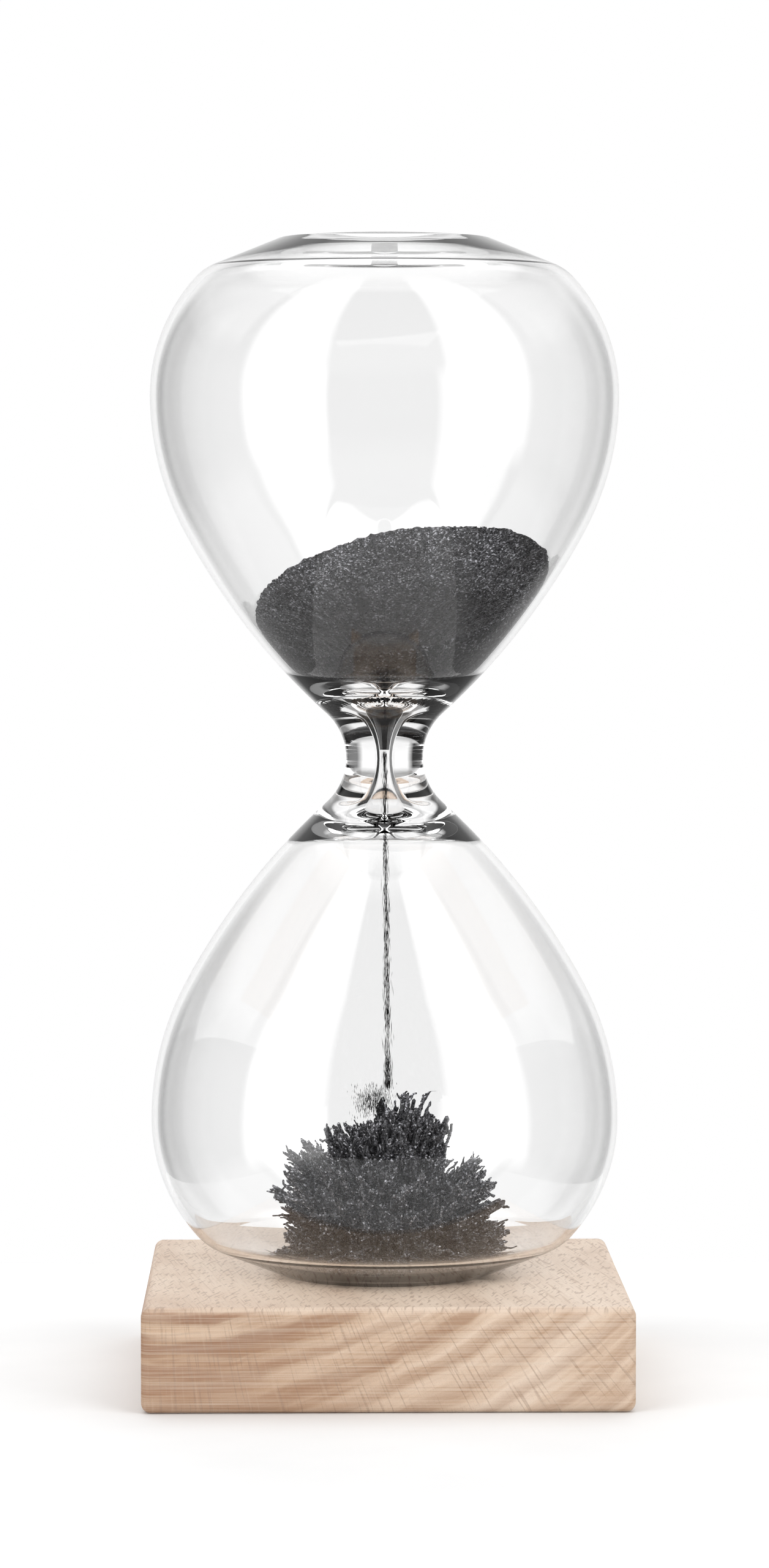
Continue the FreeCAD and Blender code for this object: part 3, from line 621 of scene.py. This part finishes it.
def make_heap(steps=420, across=70, down=46):
    """The heap: a streaked crater above, and the shape of the glass below."""
    wall = bulb_wall()
    turn = np.linspace(0, 2 * math.pi, steps, endpoint=False)
    slope = crater_slope(turn)
    rim_height, _ = crater_edge(wall, slope, 400, GAP * 1.4)
    ragged = rough(np.stack([14 * np.cos(turn), 14 * np.sin(turn), 0 * turn], axis=1), 0.7, 0.4, 1)
    rim_height = rim_height - 0.3 + ragged

    crater = crater_points(turn, slope, np.interp(rim_height, wall[:, 1], wall[:, 0]), across)
    side = heap_side_points(turn, rim_height, wall, down)
    middle, foot = len(crater) + len(side), len(crater) + len(side) + 1
    ends = [[0, 0, CRATER_LOW - 0.2], [0, 0, heap_low[2] - NECK]]
    vertices = np.concatenate([crater, side, ends]) + [0, 0, NECK]
    faces = grid_faces(across - 1 + down, steps, flip=True)
    faces += [(middle, i, (i + 1) % steps) for i in range(steps)]
    last = (across - 2 + down) * steps
    faces += [(foot, last + (i + 1) % steps, last + i) for i in range(steps)]
    return make_piece("filings_heap", vertices, faces, loose, "upper_filings", ["upper_filings"])


def make_grains(name, places, sizes, stretch, looks, body, seed, replaced=(), directions=None):
    """Loose filings: small uneven double pyramids."""
    rng = np.random.default_rng(seed)
    count = len(places)
    along = rng.normal(size=(count, 3))
    if directions is not None:
        along = directions + along * 0.05
    along /= np.linalg.norm(along, axis=1, keepdims=True)
    side = np.cross(along, rng.normal(size=(count, 3)))
    side /= np.linalg.norm(side, axis=1, keepdims=True)
    other = np.cross(along, side)
    size = np.asarray(sizes)[:, None]
    corners = [places + along * size * stretch, places - along * size * stretch]
    for direction in (side, other, -side, -other):
        corners.append(places + direction * size * rng.uniform(0.7, 1.2, (count, 1)))
    vertices = np.stack(corners, axis=1).reshape(-1, 3)
    pattern = [(0, 2, 3), (0, 3, 4), (0, 4, 5), (0, 5, 2), (1, 3, 2), (1, 4, 3), (1, 5, 4), (1, 2, 5)]
    faces = (np.array(pattern)[None] + 6 * np.arange(count)[:, None, None]).reshape(-1, 3).tolist()
    return make_piece(name, vertices, faces, looks, body, replaced, smooth=False)


def make_heap_grains(count=7000):
    """Single filings that stand proud of the crater, mostly near its edge."""
    rng = np.random.default_rng(11)
    turn = rng.uniform(0, 2 * math.pi, count)
    slope = crater_slope(turn)
    _, limit = crater_edge(bulb_wall(), slope, 200, GAP * 2)
    radius = limit * np.minimum(1 - np.abs(rng.normal(0, 0.22, count)), 0.985)
    radius = np.clip(radius, 1.5, None)
    places = np.stack([radius * np.cos(turn), radius * np.sin(turn),
                       NECK + CRATER_LOW + radius * slope - 0.12 + rng.uniform(0, 0.22, count)], axis=1)
    make_grains("heap_grains", places, rng.uniform(0.08, 0.16, count), 1.5, loose, "upper_filings", 12)


# ---------- falling stream ----------

STREAM_SPREAD = (0.17, 0.3)  # how far filings stray from the axis, at the neck and at the end of the fall
STREAM_LEAN = 0.5  # how far the end of the fall is off the axis
PUFF = (-1.6, -0.3, -1.5)  # where filings bounce off the sculpture, from the end of the fall
PUFF_SPREAD = (1.35, 1.0, 1.1)


def make_stream(count=1000, puffed=900):
    """Filings in free fall, drawn out by their speed, and a puff of them where they land."""
    rng = np.random.default_rng(21)
    share = rng.uniform(0, 1, count) ** 1.05
    share[::12] = 1 - rng.uniform(0, 0.2, len(share[::12])) ** 1.5  # every twelfth is near the end
    height = stream_high[2] + (stream_low[2] - stream_high[2]) * share
    stray = np.interp(share, [0, 1], STREAM_SPREAD)[:, None]
    places = np.column_stack([rng.normal(0, 1, (count, 2)) * stray, height])
    places[:, 0] += STREAM_LEAN * share
    half = rng.uniform(0.4, 1.3, count)
    places[:, 2] = np.clip(places[:, 2], stream_low[2] + half, stream_high[2] - half)
    landing = rng.normal(0, 1, (puffed, 3)) * PUFF_SPREAD + PUFF + (0, 0, stream_low[2])
    places = np.concatenate([places, landing])
    half = np.concatenate([half, rng.uniform(0.1, 0.5, puffed)])
    size = rng.uniform(0.022, 0.04, len(places))
    along = np.tile([0.0, 0.0, 1.0], (len(places), 1))
    stream = make_grains("falling_filings", places, size, (half / size)[:, None], loose, "glass", 22,
                         ["falling_stream"], along)
    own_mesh(stream)


# ---------- filings over the magnet ----------

FLOOR = skirt_low[2]
HEART = np.array([0.5, 0.0, FLOOR - 0.2])  # the spikes fan out from here
# Pairs of a direction's lift above the floor in degrees and the reach of the spikes that way.
LEFT_REACH = [(0, 17.4), (5, 17.8), (12, 16.6), (21, 15.6), (26, 16.9), (29, 16.2), (31, 20.2), (34, 21.2),
              (38, 18.6), (44, 22.2), (50, 21.2), (56, 22.0), (67, 21.4), (70, 19.0), (74, 20.6),
              (77, 19.2), (80, 22.2), (90, 24.6)]
RIGHT_REACH = [(0, 19.0), (4, 19.0), (10, 18.0), (18, 18.2), (23, 17.9), (27, 20.4), (33, 19.6), (38, 19.4),
               (45, 20.6), (54, 20.6), (57, 17.6), (60, 16.0), (64, 18.6), (66, 22.8), (71, 23.4),
               (79, 25.4), (90, 24.6)]
DEPTH_REACH = [(0, 19.3), (9, 18.6), (13, 17.2), (19, 15.2), (25, 17.4), (35, 19.4), (50, 20.0), (65, 20.6),
               (80, 22.8), (90, 24.6)]


def reach(directions):
    """How far the filings reach from the heart in each direction."""
    lift = np.degrees(np.arcsin(np.clip(directions[:, 2], -1, 1)))
    flat = np.maximum(np.hypot(directions[:, 0], directions[:, 1]), 1e-6)
    sideways = directions[:, 0] / flat
    left, right, depth = (np.interp(lift, *zip(*table)) for table in (LEFT_REACH, RIGHT_REACH, DEPTH_REACH))
    share = np.abs(sideways) ** 1.5
    return np.where(sideways < 0, left, right) * share + depth * (1 - share)


def off_the_glass(points):
    """Lift points that would be in the glass floor."""
    out = np.maximum(np.hypot(points[:, 0], points[:, 1]) - corner.centre[0], 0)
    curved = np.minimum(out, CORNER_ARC * facing[0])
    rise = CORNER_ARC - np.sqrt(CORNER_ARC ** 2 - curved ** 2) + (out - curved) * facing[0] / facing[1]
    points[:, 2] = np.maximum(points[:, 2], FLOOR + 0.02 + rise)
    points[:, 2] = np.minimum(points[:, 2], crown_high[2])
    return points


def bent_lines(roots, bends, tips, rings, rng, kink):
    """Centre lines of strands: kinked curves from each root past its bend to its tip."""
    t = np.linspace(0, 1, rings)[None, :, None]
    line = (1 - t) ** 2 * roots[:, None] + 2 * t * (1 - t) * bends[:, None] + t ** 2 * tips[:, None]
    return line + rng.normal(size=line.shape) * kink


def make_strands(name, line, radius, sides, rng, replaced=()):
    """Knobbly strands of filings: bumpy tubes along their centre lines."""
    count, rings, _ = line.shape
    way = np.gradient(line, axis=1)
    way /= np.linalg.norm(way, axis=2, keepdims=True)
    side = np.cross(way, rng.normal(size=(count, 1, 3)))
    side /= np.linalg.norm(side, axis=2, keepdims=True)
    other = np.cross(way, side)
    turn = np.linspace(0, 2 * math.pi, sides, endpoint=False)[None, None, :, None]
    thinner = np.linspace(1.15, 0.75, rings)[None, :, None, None]
    bumps = rng.uniform(0.6, 1.35, (count, rings, sides, 1))
    size = np.asarray(radius)[:, None, None, None] * thinner * bumps
    ring = line[:, :, None] + size * (side[:, :, None] * np.cos(turn) + other[:, :, None] * np.sin(turn))
    ends = np.stack([line[:, 0] - way[:, 0] * size[:, 0, 0] * 0.8,
                     line[:, -1] + way[:, -1] * size[:, -1, 0] * 0.9], axis=1)
    per_strand = rings * sides + 2
    vertices = np.concatenate([ring.reshape(count, -1, 3), ends], axis=1).reshape(-1, 3)
    quads = np.array(grid_faces(rings, sides))
    around = np.arange(sides)
    after = (around + 1) % sides
    last = (rings - 1) * sides
    caps = [(per_strand - 2, int(b), int(a)) for a, b in zip(around, after)]
    caps += [(per_strand - 1, last + int(a), last + int(b)) for a, b in zip(around, after)]
    shift = per_strand * np.arange(count)[:, None, None]
    faces = (quads[None] + shift).reshape(-1, 4).tolist()
    faces += (np.array(caps)[None] + shift).reshape(-1, 3).tolist()
    return make_piece(name, off_the_glass(vertices), faces, spiky, "lower_filings", replaced)


def make_beads(name, line, radius, each, rng):
    """Single filings that stick out of strands along their outer part."""
    count, rings, _ = line.shape
    along = (rings - 1) * (1 - rng.uniform(0, 0.75, (count, each)) ** 1.2)
    start = np.minimum(along.astype(int), rings - 2)
    strand = np.arange(count)[:, None]
    step = line[strand, start + 1] - line[strand, start]
    places = line[strand, start] + step * (along - start)[..., None]
    out = rng.normal(size=places.shape)
    out /= np.linalg.norm(out, axis=2, keepdims=True)
    places = places + out * np.asarray(radius)[:, None, None] * rng.uniform(0.5, 1.15, (count, each, 1))
    places = off_the_glass(places.reshape(-1, 3)) + (0, 0, 0.05)
    make_grains(name, places, rng.uniform(0.09, 0.155, count * each), 1.35, spiky, "lower_filings", 31)


def dome_directions(count, low, high, rng):
    """Even but jittered directions between two elevations in degrees."""
    index = np.arange(count) + 0.5
    low, high = (math.sin(math.radians(lift)) for lift in (low, high))
    lift = low + (high - low) * index / count
    turn = index * math.pi * (3 - math.sqrt(5))
    flat = np.sqrt(1 - lift ** 2)
    way = np.stack([flat * np.cos(turn), flat * np.sin(turn), lift], axis=1)
    way += rng.normal(size=(count, 3)) * 0.05
    return way / np.linalg.norm(way, axis=1, keepdims=True)


def make_twigs(name, roots, bends, tips, rng):
    """One twig near the tip of each of the given strands."""
    share = rng.uniform(0.55, 0.95, len(tips))[:, None]
    stems = (1 - share) ** 2 * roots + 2 * share * (1 - share) * bends + share ** 2 * tips
    out = tips - bends
    out /= np.linalg.norm(out, axis=1, keepdims=True)
    out += rng.normal(size=out.shape) * 0.5
    ends = stems + out * rng.uniform(0.7, 1.8, len(tips))[:, None]
    middles = (stems + ends) / 2 + rng.normal(size=ends.shape) * 0.2
    twigs = bent_lines(stems, middles, ends, 6, rng, 0.06)
    make_strands(name, twigs, rng.uniform(0.14, 0.24, len(tips)), 4, rng)


def make_tufts(name, directions, strands, beads, rng, replaced, droop):
    """Tufts of strands that stand apart at the root and gather at a knobbly tip, with twigs near it."""
    tufts = len(directions)
    length = reach(directions) * rng.uniform(0.93, 1.03, tufts)
    index = np.repeat(np.arange(tufts), strands)
    total = len(index)
    way, full = directions[index], length[index]
    spread = rng.normal(size=(total, 3))
    spread -= way * np.sum(spread * way, axis=1, keepdims=True)
    stagger = rng.uniform(0, 1, total) ** 1.5 * 5.5
    stagger[::strands] = 0
    tips = HEART + way * (full - stagger)[:, None] + spread * (0.22 + 0.2 * stagger)[:, None]
    roots = HEART + way * (full * rng.uniform(0.36, 0.48, total))[:, None] + spread * 0.9
    bends = (roots + tips) / 2 + rng.normal(size=tips.shape) * 0.55
    bends[:, 2] += np.linalg.norm(tips - roots, axis=1) * droop
    line = bent_lines(roots, bends, tips, 13, rng, 0.09)
    radius = rng.uniform(0.24, 0.38, total)
    make_strands(name, line, radius, 4, rng, replaced)
    make_beads(name + "_beads", line, radius, beads, rng)
    long_ones = np.repeat(np.nonzero(stagger < 4)[0], 2)
    make_twigs(name + "_twigs", roots[long_ones], bends[long_ones], tips[long_ones], rng)


def make_core(rings=60, steps=120):
    """The dense middle of the filings, hidden behind the strands."""
    lift = np.radians(np.linspace(0, 88, rings))
    turn = np.linspace(0, 2 * math.pi, steps, endpoint=False)
    way = np.stack([np.outer(np.cos(lift), np.cos(turn)), np.outer(np.cos(lift), np.sin(turn)),
                    np.repeat(np.sin(lift)[:, None], steps, axis=1)], axis=-1).reshape(-1, 3)
    points = HEART + way * (reach(way) * (0.7 + 0.16 * way[:, 2] ** 8))[:, None]
    points += way * rough(points, 0.9, 0.9, 6)[:, None]
    points[:, 2] = np.maximum(points[:, 2], FLOOR + 0.05)
    faces = grid_faces(rings, steps)
    top, bottom = len(points), len(points) + 1
    ends = [points[-steps:].mean(axis=0) + [0, 0, 0.2], [HEART[0], 0, FLOOR + 0.05]]
    points = np.concatenate([points, ends])
    last = (rings - 1) * steps
    faces += [(top, last + i, last + (i + 1) % steps) for i in range(steps)]
    faces += [(bottom, (i + 1) % steps, i) for i in range(steps)]
    make_piece("sculpture_core", points, faces, spiky, "lower_filings")


def make_sculpture():
    """Everything that the magnet holds: a spread skirt, a crown of tufts, and the core inside them."""
    rng = np.random.default_rng(5)
    make_core()
    make_tufts("skirt_tufts", dome_directions(70, 0, 19, rng), 11, 12, rng, ["filings_skirt"], 0.06)
    crown = np.concatenate([dome_directions(132, 22, 80, rng), dome_directions(56, 63, 89.5, rng)])
    make_tufts("crown_tufts", crown, 8, 14, rng, ["filings_crown"], 0.03)


make_heap()
make_heap_grains()
make_stream()
make_sculpture()


# ---------- studio ----------

TABLE = [(-85, -150), (85, -150), (85, 110), (-85, 110)]
LENS = 111.5
CAMERA, TARGET = (-12.5, -715, 122.1), (0, 0, 87.3)


def make_floor():
    """A pale table top, a little lighter towards its back edge."""
    mesh = bpy.data.meshes.new("table")
    mesh.from_pydata([(x * MM, y * MM, 0) for x, y in TABLE], [], [(0, 1, 2, 3)])
    table = bpy.data.objects.new("table", mesh)
    bpy.context.scene.collection.objects.link(table)
    material, nodes, principled = new_material("table", Roughness=0.8)
    place = nodes.stretched((1, 1, 1))
    _, back, _ = nodes.split(place)
    back = nodes.between(back, 0.03, 0.11)
    mottle = nodes.noise(place, scale=30, detail=3)
    colour = nodes.ramp(mottle, [(0.3, 0.81), (0.7, 0.85)])
    feed(nodes, principled, Base_Color=nodes.blend(back, colour, (0.93, 0.93, 0.93)))
    mesh.materials.append(material)
    table.visible_glossy = False  # the world's low half is mirrored in its place


PEAK = 4.0  # the world's ramps hold brightness as a share of this
ROUND_ABOUT = [  # degrees from straight behind the object, left negative, and brightness
    (-180, 0.05), (-152, 0.05), (-148, 2.2), (-107, 2.2), (-103, 0.03), (-90, 0.03),
    (90, 0.25), (103, 0.25), (107, 2.2), (148, 2.2), (152, 0.05), (180, 0.05)]
BACKDROP = [  # the same round the back, for what is seen through both walls of the glass
    (-15, 0.92), (-5, 0.92), (-3, 1.0), (6, 1.0), (9, 1.0), (15, 0.97)]
BEHIND = [(-0.56, 0.03), (-0.41, 1.0), (0.41, 1.0), (0.56, 0.25)]  # share to the side, and brightness
UNDER = [(0.57, 0.34), (0.65, 0.06)]  # the same, for what is mirrored from below
OVERHEAD = 2.1  # brightness of the soft box above
UPPER_BACK = 0.7  # and of the wall high up behind the object


def sideways(nodes, x, stops):
    """Levels by how far to the side a direction points, from -1 to 1."""
    share = nodes.maths("MULTIPLY_ADD", x, 0.5, 0.5)
    return nodes.ramp(share, [(side / 2 + 0.5, level / PEAK) for side, level in stops])


def around(nodes, turn, stops):
    """Levels by a direction's turn about the vertical, in degrees from straight behind the object."""
    share = nodes.maths("ADD", nodes.maths("DIVIDE", turn, 2 * math.pi), 0.5)
    return nodes.ramp(share, [(degrees / 360 + 0.5, level / PEAK) for degrees, level in stops])


def make_world():
    """White behind, a soft box on each side of the camera, one overhead, and a dark room behind it."""
    world = bpy.data.worlds.new("studio")
    world.use_nodes = True
    bpy.context.scene.world = world
    nodes = Nodes(world.node_tree)
    background = world.node_tree.nodes["Background"]
    background.inputs["Color"].default_value = (1, 1, 1, 1)

    direction = nodes.add("TexCoord").outputs["Generated"]
    x, y, z = nodes.split(direction)
    turn = nodes.maths("ARCTAN2", x, y)
    level = nodes.blend(nodes.maths("GREATER_THAN", y, 0.0), around(nodes, turn, ROUND_ABOUT),
                        sideways(nodes, x, BEHIND))
    level = nodes.blend(nodes.between(z, -0.25, -0.42), level, sideways(nodes, x, UNDER))
    upper_back = nodes.product(nodes.maths("GREATER_THAN", y, -0.1), nodes.ramp(z, [(0.35, 0.0), (0.5, 1.0)]))
    level = nodes.blend(upper_back, level, (UPPER_BACK / PEAK,) * 3)
    above = nodes.add("VectorMath", {0: direction, 1: (0, 0.3, 0.954)}, operation="DOT_PRODUCT")
    above = nodes.ramp(above.outputs["Value"], [(0.80, 0.0), (0.90, 1.0)])
    level = nodes.blend(above, level, (OVERHEAD / PEAK,) * 3)

    path = nodes.add("LightPath")
    bounces = nodes.maths("ADD", path.outputs["Glossy Depth"], path.outputs["Diffuse Depth"])
    through = nodes.product(nodes.maths("LESS_THAN", bounces, 0.5),
                            nodes.maths("GREATER_THAN", path.outputs["Transmission Depth"], 2.5))
    seen = nodes.blend(through, level, around(nodes, turn, BACKDROP))
    seen = nodes.blend(path.outputs["Is Camera Ray"], seen, (1 / PEAK,) * 3)
    world.node_tree.links.new(nodes.product(seen, PEAK), background.inputs["Strength"])


def make_camera():
    """A long lens a little above the neck, turned slightly down."""
    data = bpy.data.cameras.new("camera")
    data.sensor_width = 36
    data.lens = LENS
    camera = bpy.data.objects.new("camera", data)
    bpy.context.scene.collection.objects.link(camera)
    place, target = Vector(CAMERA) * MM, Vector(TARGET) * MM
    camera.location = place
    camera.rotation_euler = (target - place).to_track_quat("-Z", "Y").to_euler()
    bpy.context.scene.camera = camera


make_floor()
make_world()
make_camera()
bpy.context.scene.view_settings.view_transform = "Standard"
